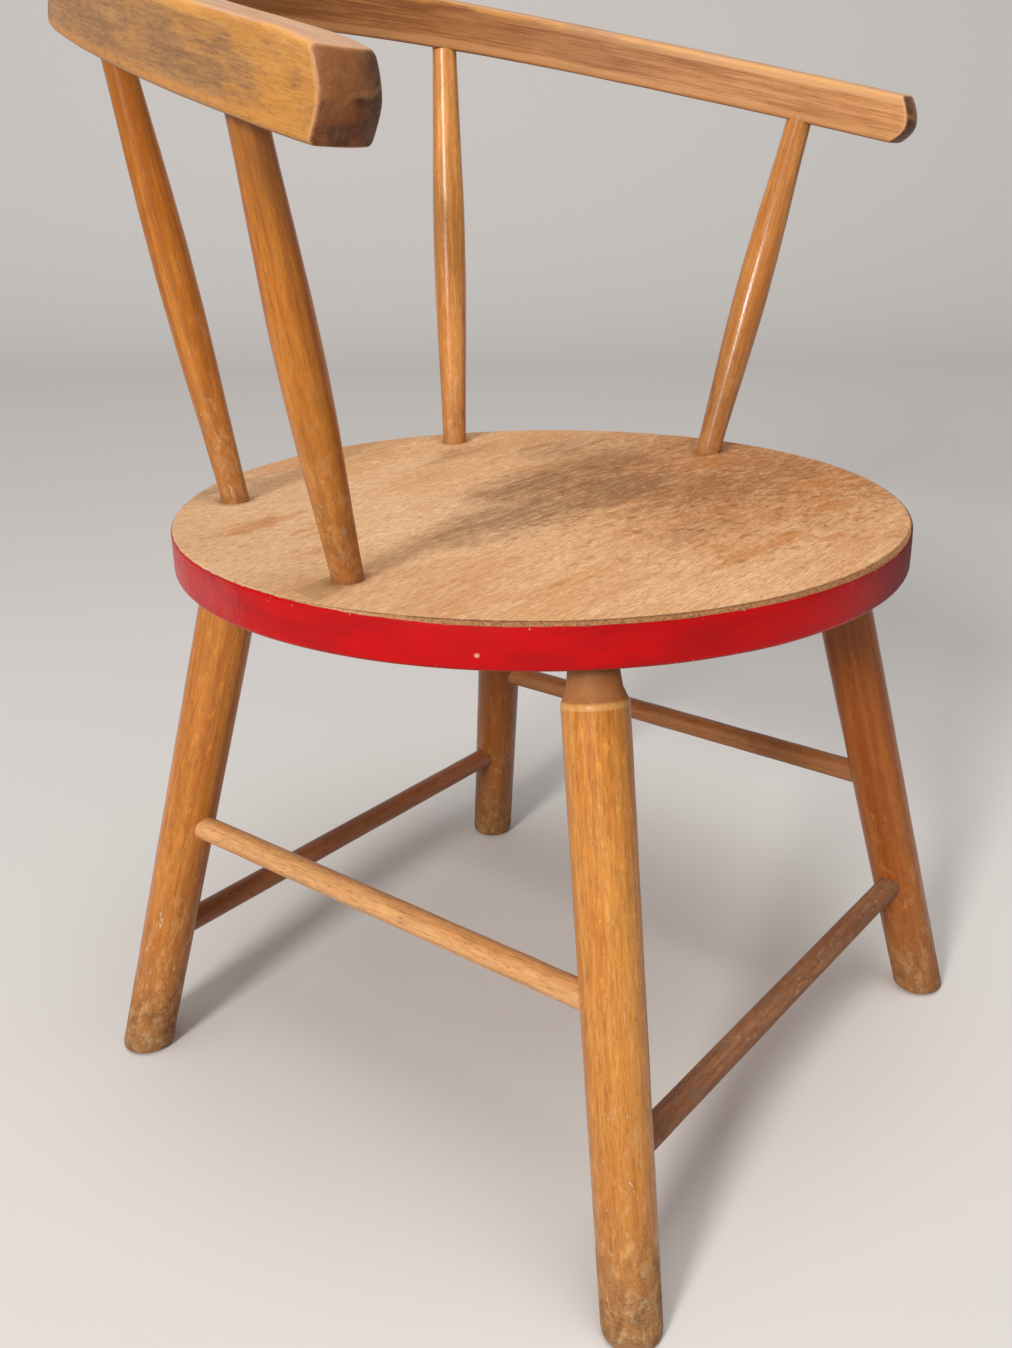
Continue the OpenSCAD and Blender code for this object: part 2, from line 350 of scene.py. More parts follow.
# %% Dowel finish
def dowel_finish(name, light, dark, scratched, roughness, coat, seed):
    """Worn varnish for one dowel. scratched runs from 0 to 1."""
    f = Finish(name, "stick")
    lot = (seed, seed * 0.7, seed * 0.3)
    cloud = f.noise((70, 70, 14), 4, 0.6, shift=lot)
    streak = f.noise((420, 420, 14), 3, 0.6, shift=lot)
    fibre = f.noise((1700, 1700, 80), 3, 0.7, shift=lot)
    fleck = f.blots((1250, 1250, 230), 1, 0.5, 0.58, 0.72, shift=lot)
    f.colour = f.mix(f.ramp(cloud * 0.55 + streak * 0.45, 0.36, 0.64), light, dark)
    f.lay(f.ramp(fibre, 0.3, 0.75) * 0.35, tone(96, 56, 32))
    f.lay(fleck * 0.35, tone(92, 50, 28))
    rub = f.noise((330, 330, 110), 5, 0.7, shift=lot, warp=0.5)
    scratch = f.ramp(rub, 0.66 - 0.10 * scratched, 0.74 - 0.08 * scratched) * scratched
    f.lay(scratch * 0.50, tone(206, 162, 126))
    mottle = f.blots((420, 420, 160), 4, 0.72, 0.46, 0.62, shift=(seed, 3, 3))
    f.lay(mottle * 0.40 * scratched, tone(112, 66, 40))
    dust = f.blots((190, 190, 90), 4, 0.7, 0.46, 0.66, shift=(seed, 4, 1))
    f.lay(dust * scratched * 0.45, tone(128, 108, 92))
    relief = fibre * 0.3 + cloud * 1.2 - scratch * 0.9 - dust * 0.3 * scratched
    return f.done(roughness + scratch * 0.25, relief, 0.20 * MM,
                  coat=coat * (1 - scratch), coat_rough=0.24, shine=0.25)


# %% [markdown]
# ## The seat board's finish
#
# The board is plywood. Its top has been sat and scrubbed bare, so the beech
# veneer shows pale, with its fine grain running from side to side, a few
# amber islands of old varnish, grey smudges of dirt where people sit, one
# smudge along a spindle's shadow that is partly painted shadow, and a paler
# patch of painted light on the side towards the lamp. The rim wears thick
# glossy red paint, with painted shade on its side away from the lamp. At the
# front the paint and the veneer's edge are rubbed away and a thin brown strip
# of plywood shows between them.
# All of it is one finish, because the borders between the three are ragged.

# %% Marks on the seat
# Each mark is an ellipse on the board's top: the x and y of its middle and its
# half length and half width, in millimetres, and how strong it is.
AMBER_ISLANDS = [
    (-104, 62, 36, 14, 0.60), (-90, 36, 30, 10, 0.50), (-112, 12, 26, 9, 0.45),
    (-22, -133, 24, 8, 0.90), (10, -134, 22, 8, 0.85), (24, -148, 16, 6, 0.70),
    (-20, -120, 20, 6, 0.60), (36, -89, 18, 7, 0.55), (97, -100, 20, 11, 0.95),
    (83, -116, 18, 7, 0.70), (-80, -96, 40, 10, 0.40), (112, -40, 30, 18, 0.55),
    (70, -128, 26, 10, 0.55), (40, 120, 50, 12, 0.35), (-10, 60, 40, 10, 0.30)]
# The long smudge at (-20, -24) lies along the front right spindle's shadow and is made darker
# there: partly dirt, partly painted shadow.
SMUDGES_AND_SHADOW = [
    (40, -30, 70, 36, 1.0), (26, 10, 62, 26, 0.85), (-20, -24, 85, 28, 0.85),
    (80, 4, 60, 30, 0.60), (98, 46, 48, 28, 0.6), (55, 82, 40, 12, 0.55),
    (120, -74, 40, 30, 0.5), (0, -98, 40, 14, 0.4), (-57, 125, 44, 12, 0.6),
    (70, -60, 80, 50, 0.5)]
DARK_BLOBS = [(1, -99), (45, -90), (78, -70)]
SPOT_DEPTH = 20 * MM      # every mark reaches this far into the board


def marks(f, ellipses, top, wobble):
    """A mask of many marks, as strong at each point as its strongest mark."""
    cover = 0.0
    for x, y, half_length, half_width, strength in ellipses:
        mark = f.spot((x * MM, y * MM, top), (half_length * MM, half_width * MM, SPOT_DEPTH),
                      wobble)
        cover = (mark * strength).most(cover)
    return cover


print(len(AMBER_ISLANDS), "islands of varnish and", len(SMUDGES_AND_SHADOW), "smudges of dirt")

# %% Bare veneer
GRAIN_TURN = math.radians(5)      # the grain runs nearly from side to side


def veneer(f, top):
    """Pale beech. Returns its long bands, its fine fibres and its short dark dashes."""
    slow = f.noise((14, 30, 10), 3, 0.5, turn=GRAIN_TURN)
    bands = f.noise((34, 330, 60), 4, 0.65, turn=GRAIN_TURN)
    fibre = f.noise((160, 1900, 300), 4, 0.72, turn=GRAIN_TURN)
    dash = f.blots((230, 1500, 200), 2, 0.6, 0.56, 0.72, turn=GRAIN_TURN)
    f.colour = f.mix(f.ramp(slow * 0.4 + bands * 0.6, 0.36, 0.62),
                     tone(252, 206, 156), tone(230, 172, 120))
    # painted light: a paler patch on the board's right rear, the side towards the main lamp
    lamp_side_light = f.spot((-0.105, 0.055, top), (0.170, 0.150, SPOT_DEPTH), (slow - 0.5) * 0.8)
    f.lay(lamp_side_light * 0.60, tone(255, 216, 172))
    f.lay(f.ramp(fibre, 0.38, 0.62) * 0.62, tone(190, 130, 82))
    f.lay(dash * 0.58, tone(148, 96, 56))
    pale = f.blots((110, 1200, 200), 3, 0.7, 0.56, 0.72, turn=GRAIN_TURN, shift=(3, 8, 0))
    f.lay(pale * 0.62, tone(255, 222, 182))
    return bands, fibre, dash


# %% Old varnish on the veneer
def old_varnish(f, top, bands, fibre):
    """Browner wood where the board is sat on most, and amber islands, which it returns."""
    mottle = f.noise((70, 150, 60), 5, 0.7, turn=GRAIN_TURN, shift=(4, 2, 0)) - 0.5
    f.lay(f.ramp(mottle, 0.02, 0.18) * 0.30, tone(208, 150, 100))
    tanned = f.spot((0.112, -0.062, top), (0.165, 0.130, SPOT_DEPTH), mottle * 1.6)
    uneven = f.ramp(f.noise((130, 300, 80), 5, 0.72, turn=GRAIN_TURN, shift=(8, 1, 0)),
                    0.36, 0.60, 0.3, 1.0)
    f.lay(tanned * uneven * 0.95, tone(182, 120, 70))
    ragged = (f.noise((70, 170, 60), 5, 0.72, turn=GRAIN_TURN) - 0.5) * 2.6
    amber = marks(f, AMBER_ISLANDS, top, ragged)
    amber = (f.ramp(amber + (bands - 0.5) * 0.7 + mottle * 0.8, 0.14, 0.66)
             * f.ramp(fibre, 0.3, 0.6, 0.5, 1.0))
    f.lay(amber * 0.80, tone(202, 132, 70))
    freckle = f.blots((170, 420, 90), 4, 0.7, 0.55, 0.66, turn=GRAIN_TURN, shift=(9, 3, 0))
    f.lay(freckle * (tanned * 0.45 + 0.16), tone(176, 112, 60))
    return amber


# %% Dirt on the seat
def seat_dirt(f, top, bands, fibre, spindle_feet):
    """Smudges, specks and stains where people sit, and dirt round each spindle."""
    cloudy = (f.noise((55, 110, 50), 5, 0.72, turn=GRAIN_TURN, shift=(5, 1, 0)) - 0.5) * 1.9
    # one of these smudges, along the front right spindle's shadow, is partly painted shadow
    grime = marks(f, SMUDGES_AND_SHADOW, top, cloudy)
    grime = grime * f.ramp(bands * 0.5 + fibre * 0.5, 0.36, 0.60, 0.40, 1.0)
    f.lay(grime * 0.72, tone(118, 84, 56))
    speck = f.blots((420, 760, 100), 3, 0.66, 0.62, 0.70, turn=GRAIN_TURN, shift=(2, 7, 0))
    near_dirt = f.spot((0.065, -0.078, top), (0.190, 0.145, SPOT_DEPTH), cloudy * 0.5)
    f.lay(speck * (near_dirt * 0.80 + 0.16), tone(98, 66, 42))
    stains = f.blots((120, 250, 60), 4, 0.68, 0.53, 0.64, turn=GRAIN_TURN, shift=(6, 6, 0))
    f.lay(stains * near_dirt * 0.72, tone(156, 98, 52))
    for blob_x, blob_y in DARK_BLOBS:
        blob = f.spot((blob_x * MM, blob_y * MM, top), (4.2 * MM, 2.2 * MM, SPOT_DEPTH),
                      cloudy * 0.5)
        f.lay(blob * 0.6, tone(112, 76, 48))
    # a little patch of greyer wood beside the front right spindle
    skew = f.across + f.along * -0.20
    inset = (f.band(skew, -0.1535, -0.1375, 0.0006)
             * f.band(f.along + f.across * -0.12, -0.0145, 0.0010, 0.0006))
    f.lay(inset * 0.62, tone(190, 150, 98))
    for foot in spindle_feet:
        ring = f.spot((foot.x, foot.y, top), (0.0135, 0.0115, SPOT_DEPTH), cloudy * 0.16)
        f.lay(ring * 0.70, tone(126, 80, 42))


# %% Plywood edge
def plywood_edge(f, board):
    """The veneer's ragged lip, and outside it the bare plies, most of them at the front."""
    facing = f.ramp((board.x * -0.5 - board.y * 0.866) / board.reach, 0.45, 0.90)
    jag = f.noise((900, 900, 300), 3, 0.7) - 0.5
    slow_jag = f.noise((150, 150, 60), 3, 0.6) - 0.5
    lip = board.radius - 0.0018 * facing - 0.0007 + jag * 0.0014 + slow_jag * 0.0010
    lip_line = f.band(board.reach - lip, -0.0004, 0.0004, 0.0003) * (0.30 + facing * 0.70)
    lip_line = lip_line * f.ramp(slow_jag + jag * 0.4, -0.22, 0.02)
    outside = f.ramp(board.reach - lip, 0.0, 0.0005)
    strip = f.mix(f.ramp(jag, -0.2, 0.25), tone(178, 124, 80), tone(104, 64, 38))
    f.lay(outside * (facing * 0.75 + 0.2), strip)
    f.lay(lip_line * 0.65, tone(96, 60, 36))
    return SimpleNamespace(facing=facing, jag=jag, slow_jag=slow_jag, lip_line=lip_line,
                           outside=outside)


# %% Red paint
def red_paint(f, board, edge):
    """Thick red paint on the rim alone, with chips, dust and one rubbed place."""
    start = 0.0004 + edge.facing * 0.0011 + edge.jag * 0.0006 + edge.slow_jag * 0.0007
    painted = (f.ramp(board.z * -1.0 - start, -0.0001, 0.0002)
               * f.ramp(board.reach, board.radius - 0.006, board.radius - 0.0035))
    foot_of_rim = f.ramp(f.up - board.under + edge.jag * 0.001, 0.0002, 0.0010)
    painted = painted * foot_of_rim
    red = f.mix(f.blots((25, 25, 90), 3, 0.6, 0.35, 0.7), tone(196, 2, 8), tone(172, 4, 10))
    # painted shade: the red is darker towards the front left, the rim's side away from the main
    # lamp
    painted_shade_side = f.ramp(board.x * 0.62 - board.y * 0.785, 0.105, 0.165)
    red = f.mix(painted_shade_side * 0.9, red, tone(66, 1, 5))
    chips = f.blots((700, 700, 700), 1, 0.5, 0.85, 0.87, shift=(4, 4, 1))
    edge_near = 1 - f.band(f.up, board.under + 0.0018, board.top - 0.0026, 0.0010)
    edge_chip = f.blots((420, 420, 420), 3, 0.6, 0.67, 0.71, shift=(1, 2, 3)) * edge_near
    knock = f.spot((-0.1445, -0.0948, 0.2680), (0.0014, 0.0014, 0.0012))
    scuffed = chips.most(edge_chip).most(knock)
    red = f.mix(scuffed * 0.8, red, tone(232, 178, 160))
    dusty = f.blots((60, 60, 140), 5, 0.7, 0.48, 0.8, shift=(7, 7, 7))
    red = f.mix(dusty * 0.20, red, tone(140, 30, 36))
    rubbed = f.spot((-0.160, 0.022, 0.272), (0.012, 0.030, 0.012), edge.slow_jag * 2.0)
    red = f.mix(rubbed * 0.20, red, tone(186, 96, 94))
    f.lay(painted, red)
    return SimpleNamespace(cover=painted, scuffed=scuffed,
                           roughness=0.30 + dusty * 0.16 + painted_shade_side * 0.40)


# %% Seat finish
def seat_finish(centre, radius, top, under, spindle_feet):
    """Bare veneer on top, a strip of plywood at its edge, and red paint on the rim."""
    f = Finish("seat_board")
    x, y, z = f.across - centre.x, f.along - centre.y, f.up - top
    board = SimpleNamespace(x=x, y=y, z=z, reach=(x * x + y * y).root(),
                            radius=radius, top=top, under=under)
    bands, fibre, dash = veneer(f, top)
    amber = old_varnish(f, top, bands, fibre)
    seat_dirt(f, top, bands, fibre, spindle_feet)
    edge = plywood_edge(f, board)
    bare_rough = 0.66 - amber * 0.05 + (fibre - 0.5) * 0.1
    paint = red_paint(f, board, edge)
    roughness = bare_rough + paint.cover * (paint.roughness - bare_rough)
    relief = ((fibre * 0.35 + dash * -0.25 + bands * 0.3 - edge.lip_line * 2.2
               + edge.jag * edge.outside * edge.facing) * (1 - paint.cover)
              + paint.cover * (1.2 - paint.scuffed * 1.0 + edge.slow_jag * 0.6))
    return f.done(roughness, relief, 0.25 * MM, coat=paint.cover * 0.06, coat_rough=0.10,
                  shine=0.14)


# %% [markdown]
# ## The bow's wood
#
# The bow is bent from one stick, so its grain goes round with it. We keep
# three coordinates of the straight stick in an attribute: across, along and
# up. Hands have polished its faces unevenly. The top is rubbed to bare pinkish
# wood, the outside is amber with grey-brown grime, the inside is a quiet mid
# brown, and both ends show thirsty end grain that has drunk dirt and varnish
# until it is nearly black.

# %% The bow's inner and outer faces
def inner_face(f, slow, streak):
    """A quiet mid brown with long dark streaks, paler along the arms."""
    forward = f.ramp(f.along.size(), 0.12, 0.34)
    browned = f.mix(forward, tone(180, 122, 72), tone(214, 154, 98))
    deep = f.mix(forward, tone(134, 82, 42), tone(178, 118, 68))
    lines = f.noise((1000, 26, 1000), 3, 0.7, shift=(7, 1, 2))
    inner = f.mix(f.ramp(slow * 0.35 + streak * 0.3 + lines * 0.35, 0.40, 0.60), browned, deep)
    return f.mix(f.ramp(lines, 0.52, 0.66) * 0.30, inner, tone(118, 74, 40))


def outer_face(f, behind, slow, streak, fibre, smear, cloud):
    """Amber with soft clouds of grey-brown grime, rubbed cleaner near the ends."""
    rise = f.up
    handled = f.ramp(behind + (cloud - 0.5) * 0.10, 0.020, 0.075)
    grimy = f.ramp(cloud * 0.55 + smear * 0.45 + handled * 0.16, 0.46, 0.66)
    grimy = grimy * f.ramp(rise + (smear - 0.5) * 0.006, -0.0105, -0.0060)
    grimy = grimy * f.ramp(rise + (slow - 0.5) * 0.010, 0.0120, 0.0080)
    f.lay(handled * 0.50, tone(182, 136, 92))
    grimy = grimy * f.ramp(fibre * 0.5 + streak * 0.5, 0.34, 0.60, 0.35, 1.0)
    f.lay(grimy * 0.74, tone(122, 94, 74))
    combed = f.blots((700, 60, 700), 3, 0.7, 0.52, 0.66, shift=(5, 5, 2))
    f.lay(combed * 0.30, tone(120, 84, 52))
    low_band = f.band(rise + (smear - 0.5) * 0.004, -0.0116, -0.0090, 0.0008)
    f.lay(low_band * 0.5, tone(214, 144, 72))
    ochre = f.blots((110, 34, 110), 4, 0.65, 0.48, 0.62, shift=(9, 2, 4))
    f.lay(ochre * (0.60 - handled * 0.35), tone(206, 142, 62))
    spots = f.blots((520, 150, 520), 4, 0.7, 0.58, 0.68, shift=(2, 2, 9))
    f.lay(spots * 0.45, tone(128, 88, 46))
    return grimy


# %% The bow's rubbed top and edges
def inner_edges(f, slow, fibre, is_outer):
    """Pale stretches near the inner face's edges, and a thin dark line at its foot."""
    edge_wobble = (slow - 0.5) * 0.003
    pale_low = f.band(f.up + edge_wobble, -0.0112, -0.0068, 0.0008) * (1 - is_outer)
    pale_high = (f.ramp(f.up + edge_wobble, 0.0066, 0.0080) * f.ramp(f.along, 0.10, 0.30)
                 * (1 - is_outer))
    f.lay(pale_low * 0.45, tone(214, 158, 104))
    f.lay(pale_high * 0.60, tone(222, 172, 120))
    # painted shade: a thin dark line at the inner face's foot, under its rounded lower edge
    shade_line_under = f.ramp(f.up + (fibre - 0.5) * 0.0008, -0.0113, -0.0118)
    f.lay(shade_line_under * 0.6, tone(104, 62, 30))


def bare_top(f, half_width, half_height, streak, dash, right_arm):
    """Bare wood on top, greyer on the left arm, and pale rubbed edges. Returns the top."""
    on_top = f.ramp(f.up + (streak - 0.5) * 0.0008, half_height - 0.0010, half_height - 0.0002)
    bare = f.mix(f.ramp(streak, 0.35, 0.68), tone(218, 176, 146), tone(196, 150, 118))
    bare = f.mix(dash * 0.2, bare, tone(150, 104, 74))
    grey_top = f.blots((90, 30, 90), 4, 0.65, 0.45, 0.68, shift=(8, 1, 1)) * (1 - right_arm)
    bare = f.mix(grey_top * 0.55, bare, tone(150, 118, 92))
    f.lay(on_top * 0.92, bare)
    corner = half_width + half_height
    rubbed_edge = (f.band(f.across.size() + f.up, corner - 0.0034, corner - 0.0004, 0.0008)
                   * f.ramp(f.up, 0.0, 0.004))
    patchy = f.blots((200, 40, 200), 4, 0.65, 0.38, 0.60, shift=(1, 9, 1))
    f.lay(rubbed_edge * patchy * 0.6, tone(222, 160, 84))
    return on_top


# %% The bow's end grain
def end_grain(f, behind, half_width, tip, smear):
    """Dark and greasy below, paler above, with a pale rubbed outline."""
    side, rise = f.across, f.up
    on_end = f.ramp(behind, 0.0010, 0.0004)
    rings = f.noise((230, 60, 260), 4, 0.6, shift=(1, 3, 3))
    blot = f.noise((120, 50, 120), 3, 0.55, shift=(4, 4, 8))
    pores = f.noise((1400, 200, 1400), 2, 0.6)
    wavy = (blot - 0.5) * 0.008
    dark_end = f.mix(f.ramp(rings, 0.35, 0.65), tone(72, 30, 8), tone(124, 62, 20))
    upper = f.ramp(rise + wavy * 1.6, -0.0016, 0.0016)
    dark_end = f.mix(upper * 0.70, dark_end, tone(150, 94, 56))
    knot = f.spot((half_width * 0.4, -tip, -0.0035), (0.0065, 0.03, 0.0055), wavy * 40)
    dark_end = f.mix(knot * 0.7, dark_end, tone(140, 84, 42))
    inner_side = f.ramp(side + wavy, -0.0020, -0.0080)
    dark_end = f.mix(inner_side * 0.70, dark_end, tone(56, 31, 17))
    pale_line = (f.band(rise + side * 0.25 + wavy, -0.0008, 0.0012, 0.0006)
                 * f.ramp(side, 0.008, 0.0))
    dark_end = f.mix(pale_line * 0.45, dark_end, tone(176, 128, 78))
    dark_end = f.mix(f.ramp(pores, 0.62, 0.75) * 0.35, dark_end, tone(170, 118, 78))
    f.lay(on_end, dark_end)
    worn_rim = f.band(behind + (smear - 0.5) * 0.001, 0.0003, 0.0016, 0.0005)
    f.lay(worn_rim * 0.6, tone(214, 158, 108))
    return on_end, rings


# %% Bow finish
def bow_finish(name, half_width, half_height, tip):
    """All of the bow's faces. tip is the run from the bow's middle to either end."""
    f = Finish(name, "bow_stick")
    behind = f.node("Attribute", {"attribute_name": "behind_end"}, out="Fac")
    right_arm = f.ramp(f.along, -0.12, 0.0, 1.0, 0.0)
    slow = f.noise((60, 12, 60), 3, 0.55)
    streak = f.noise((420, 22, 420), 4, 0.65)
    fibre = f.noise((1900, 130, 1900), 3, 0.7)
    dash = f.blots((1500, 330, 1500), 1, 0.5, 0.58, 0.74, shift=(3, 0, 0))
    inner = inner_face(f, slow, streak)
    f.colour = f.mix(f.ramp(slow * 0.5 + streak * 0.5, 0.34, 0.66),
                     tone(216, 156, 84), tone(194, 132, 66))
    cloud = f.noise((62, 20, 62), 5, 0.62, shift=(2, 5, 1))
    smear = f.noise((260, 60, 260), 4, 0.7, shift=(6, 2, 1))
    grimy = outer_face(f, behind, slow, streak, fibre, smear, cloud)
    is_outer = f.ramp(f.across, -0.002, 0.004)
    f.colour = f.mix(is_outer, inner, f.colour)
    f.lay(f.ramp(fibre, 0.35, 0.75) * 0.26, tone(122, 78, 42))
    f.lay(dash * 0.24, tone(104, 68, 40))
    inner_edges(f, slow, fibre, is_outer)
    on_top = bare_top(f, half_width, half_height, streak, dash, right_arm)
    on_end, rings = end_grain(f, behind, half_width, tip, smear)
    roughness = (0.46 + on_top * 0.18 + (streak - 0.5) * 0.15 + grimy * is_outer * 0.10
                 - on_end * 0.06)
    relief = fibre * 0.35 + streak * 0.5 + slow * 1.2 - dash * 0.3 + rings * on_end * 0.8
    return f.done(roughness, relief, WOOD_BUMP,
                  coat=(1 - on_top) * 0.10, coat_rough=0.28, shine=0.25)


# %% [markdown]
# ## Places taken from the frame
#
# The frame's origin is on the floor under the middle of the chair's box, and
# the round board sits a little forward of it. The ends of each stick are given
# from the board's centre, in millimetres, as they were drawn.

# %% Where each stick begins and ends
seat_low, seat_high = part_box("seat")
SEAT_CENTRE = (seat_low + seat_high) / 2
SEAT_RADIUS = (seat_high.x - seat_low.x) / 2
SEAT_TOP, SEAT_UNDER = seat_high.z, seat_low.z


def from_seat(x, y, z):
    """A point given in millimetres from the floor under the board's centre."""
    return Vector((x * MM + SEAT_CENTRE.x, y * MM + SEAT_CENTRE.y, z * MM))


TOP, UNDER = SEAT_TOP / MM, SEAT_UNDER / MM      # the same heights in millimetres
SIDES = (("right", -1), ("left", 1))
LEG_ENDS = {
    row + "_" + side: (from_seat(sign * 144.4, foot_y, 0), from_seat(sign * 99.1, top_y, UNDER))
    for row, foot_y, top_y in (("front", -151.1, -97.6), ("rear", 149.0, 96.4))
    for side, sign in SIDES}
SPINDLE_FEET = {
    row + "_" + side: from_seat(sign * x, y, TOP)
    for row, x, y in (("front", 135.3, -10.2), ("rear", 79.2, 117.3))
    for side, sign in SIDES}
SPINDLE_HEADS = {
    "front_right": from_seat(-186.8, -31.3, 443.9), "front_left": from_seat(184.4, -26.4, 441.3),
    "rear_right": from_seat(-100.4, 145.1, 483.2), "rear_left": from_seat(106.4, 139.8, 480.5),
}
print("board radius", round(SEAT_RADIUS / MM, 1), "mm, top at", round(TOP, 1), "mm")

# %% [markdown]
# ## Tools for turned pieces
#
# A lathe is what made these pieces, and the spin operator is a lathe: it turns
# a profile about an axis. The full turn merges its last step with its first,
# and the points on the axis are merged after it. The normals are then made to
# point outwards. When a stick is leaned into place, an attribute keeps where
# each of its points was on the straight stick, and the varnish reads that.

# %% Lathe
MERGE = 1e-6              # points closer than this, in metres, are one point
SHARP_ANGLE = math.radians(40)


def turned(profile, sides):
    """A closed solid of (radius, height) points spun about Z."""
    bm = bmesh.new()
    points = [bm.verts.new((radius, 0, height)) for radius, height in profile]
    lines = [bm.edges.new(pair) for pair in zip(points, points[1:])]
    bmesh.ops.spin(bm, geom=points + lines, cent=(0, 0, 0), axis=(0, 0, 1),
                   angle=2 * math.pi, steps=sides, use_merge=True)
    bmesh.ops.remove_doubles(bm, verts=bm.verts, dist=MERGE)
    bmesh.ops.recalc_face_normals(bm, faces=bm.faces)
    return bm


def everything(bm):
    return bm.verts[:] + bm.edges[:] + bm.faces[:]


def edges_of(geometry):
    return [g for g in geometry if isinstance(g, bmesh.types.BMEdge)]


def verts_of(geometry):
    return [g for g in geometry if isinstance(g, bmesh.types.BMVert)]


def add_rings(bm, start, stop, count):
    """Cuts rings round a stick on Z, so that it can be worn hollow between its ends."""
    for i in range(count + 1):
        height = start + (stop - start) * i / count
        bmesh.ops.bisect_plane(bm, geom=everything(bm), plane_co=(0, 0, height),
                               plane_no=(0, 0, 1), dist=MERGE)


# %% Lean and wear
def lean(start, end, spin=0.0):
    """The matrix that stands a stick made on Z at start, pointing at end."""
    direction = (end - start).normalized()
    return (Matrix.Translation(start)
            @ direction.to_track_quat("Z", "Y").to_matrix().to_4x4()
            @ Matrix.Rotation(spin, 4, "Z"))


def wear(bm, depth, scale, seed):
    """Presses the surface in by up to depth, in smooth hollows, never out."""
    bm.normal_update()
    offset = Vector((seed, seed * 2, seed * 3))
    for v in bm.verts:
        v.co -= v.normal * depth * (0.5 + 0.5 * noise.noise(v.co * scale + offset))


def stand(bm, matrix):
    """Leans a stick into place, and stores where each vertex was on the straight stick."""
    layer = bm.verts.layers.float_vector.new("stick")
    bmesh.ops.transform(bm, matrix=matrix, verts=bm.verts)
    back = matrix.inverted()
    for v in bm.verts:
        v[layer] = back @ v.co


# %% Hand a piece over
def to_scene(bm, name, material):
    """Makes a bmesh into a smooth-shaded object in the scene."""
    mesh = bpy.data.meshes.new(name)
    bm.to_mesh(mesh)
    bm.free()
    mesh.shade_smooth()
    mesh.materials.append(material)
    thing = bpy.data.objects.new(name, mesh)
    bpy.context.scene.collection.objects.link(thing)
    print(name, "has", len(mesh.polygons), "faces")
    return thing


def finished(bm, name, material, node):
    """Makes a bmesh into a piece of the chair that stands for a CAD node."""
    piece = to_scene(bm, name, material)
    piece.data.set_sharp_from_angle(angle=SHARP_ANGLE)
    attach(piece, "root")
    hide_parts(node)


# %% [markdown]
# ## Legs
#
# A leg is nearly straight: a little stouter at the shoulder than at the foot,
# then a short cone down to the neck that enters the board. It leans outwards
# but is sawn level, so the foot is cut after the leg is leaned. The foot's
# edge is rounded by years of being dragged, so that edge is bevelled wide.

# %% Make the legs
LEG_TOP_R, LEG_FOOT_R, NECK_R = 13.15 * MM, 12.35 * MM, 9.2 * MM
IN_BOARD = 1.5 * MM       # how far the neck goes into the board
BELOW_FLOOR = 20 * MM     # spare length at the foot, for the saw
FOOT_ROUNDING = 3.4 * MM
STICK_WEAR = 0.22 * MM    # the deepest hollow worn into a turned piece
LEG_LOOKS = {
    "front_right": dict(light=tone(222, 152, 72), dark=tone(202, 126, 50), scuffs=1.0,
                        foot=1.0, seed=1.3, gloss=0.36),
    "rear_right": dict(light=tone(212, 136, 56), dark=tone(186, 108, 38), scuffs=1.05,
                       foot=1.0, seed=4.1, gloss=0.34),
    "front_left": dict(light=tone(170, 94, 26), dark=tone(144, 70, 16), scuffs=0.7,
                       foot=0.7, seed=7.7, gloss=0.34),
    "rear_left": dict(light=tone(132, 72, 22), dark=tone(106, 52, 14), scuffs=0.5,
                      foot=0.8, seed=9.2, gloss=0.36),
}


def make_leg(corner):
    start, end = LEG_ENDS[corner]
    length = (end - start).length
    shoulder = length - NECK_LENGTH
    bm = turned([
        (0, -BELOW_FLOOR), (LEG_FOOT_R, -BELOW_FLOOR),
        (LEG_TOP_R, shoulder - 0.0010), (LEG_TOP_R - 0.00012, shoulder - 0.0003),
        (LEG_TOP_R - 0.0006, shoulder + 0.0004), (LEG_TOP_R - 0.0024, shoulder + 0.0048),
        (NECK_R + 0.0006, shoulder + 0.0120), (NECK_R + 0.0001, shoulder + 0.0155),
        (NECK_R, length + IN_BOARD), (0, length + IN_BOARD)], sides=64)
    matrix = lean(start, end, spin=start.x * 20)
    bmesh.ops.transform(bm, matrix=matrix, verts=bm.verts)
    cut = bmesh.ops.bisect_plane(bm, geom=everything(bm), plane_co=(0, 0, 0),
                                 plane_no=(0, 0, 1), clear_inner=True, dist=MERGE)
    rim = edges_of(cut["geom_cut"])
    bmesh.ops.holes_fill(bm, edges=rim, sides=0)
    bmesh.ops.bevel(bm, geom=rim, offset=FOOT_ROUNDING, segments=6, profile=0.5,
                    affect="EDGES", material=-1)
    bmesh.ops.transform(bm, matrix=matrix.inverted(), verts=bm.verts)
    add_rings(bm, 10 * MM, shoulder - 3 * MM, count=60)
    wear(bm, STICK_WEAR, scale=55, seed=start.x * 90 + start.y * 40)
    stand(bm, matrix)
    look = amber_varnish("leg_" + corner, length, neck=1.0, **LEG_LOOKS[corner])
    finished(bm, "turned_leg_" + corner, look, "leg_" + corner)


for corner in LEG_ENDS:
    make_leg(corner)

# %% [markdown]
# ## Stretchers
#
# Four plain dowels tie the legs together: one along each side, and a lower one
# across the front and the back. They are let into the legs, so each runs on
# past the surface that it enters and stops short of the leg's middle.

# %% Make the stretchers
DOWEL_R = 5.95 * MM
DOWEL_CHAMFER = 0.8 * MM
DOWEL_WEAR = 0.28 * MM
SHORT_OF_AXIS = 4.35 * MM     # from the middle of a leg to the dowel's end
SIDE_FRONT_Z, SIDE_REAR_Z, FRONT_Z, REAR_Z = 127.5, 129.1, 68.1, 66.2     # mm


def leg_axis(corner, height):
    """The middle of a leg at a height in millimetres."""
    start, end = LEG_ENDS[corner]
    return start + (end - start) * (height * MM - start.z) / (end.z - start.z)


